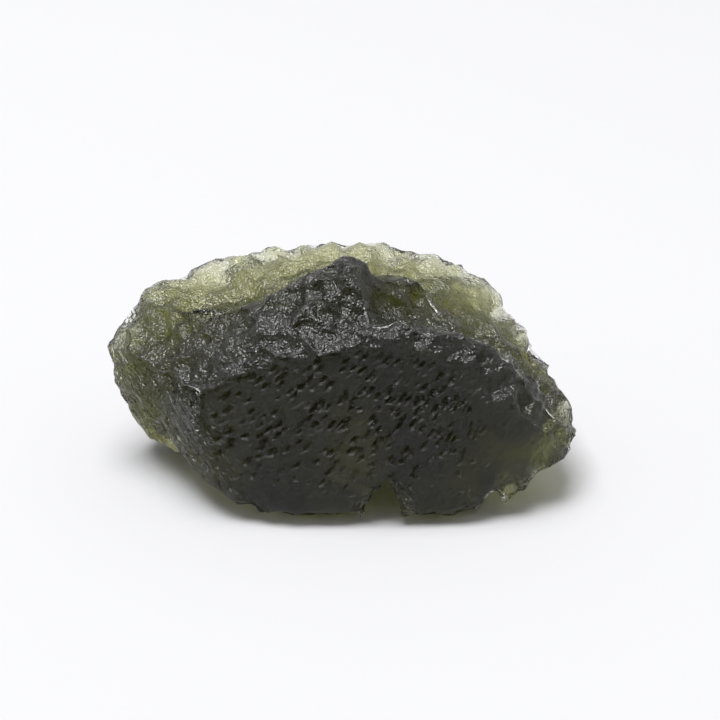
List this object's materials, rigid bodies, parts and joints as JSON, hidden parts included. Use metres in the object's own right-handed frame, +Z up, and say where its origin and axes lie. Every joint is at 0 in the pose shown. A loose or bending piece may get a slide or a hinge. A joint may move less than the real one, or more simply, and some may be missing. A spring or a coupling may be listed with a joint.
{
  "type": "moldavite",
  "caption": "Small etched piece of natural green impact glass with one broken face, a pitted crest and a thin translucent back rim, lying on its worn flat spots.",
  "frame": {"origin": "middle of the footprint, on the ground the stone lies on", "axes": "+Z up; +Y from the broken front face to the thin back rim; +X to the right of someone who looks at the broken face, along the stone's length"},
  "size_m": [0.032, 0.019, 0.016],
  "materials": {
    "impact_glass": "natural olive green glass, etched to a soft sheen, nearly black where it is thick"
  },
  "bodies": {
    "root": {"moldavite": "impact_glass"}
  },
  "joints": []
}
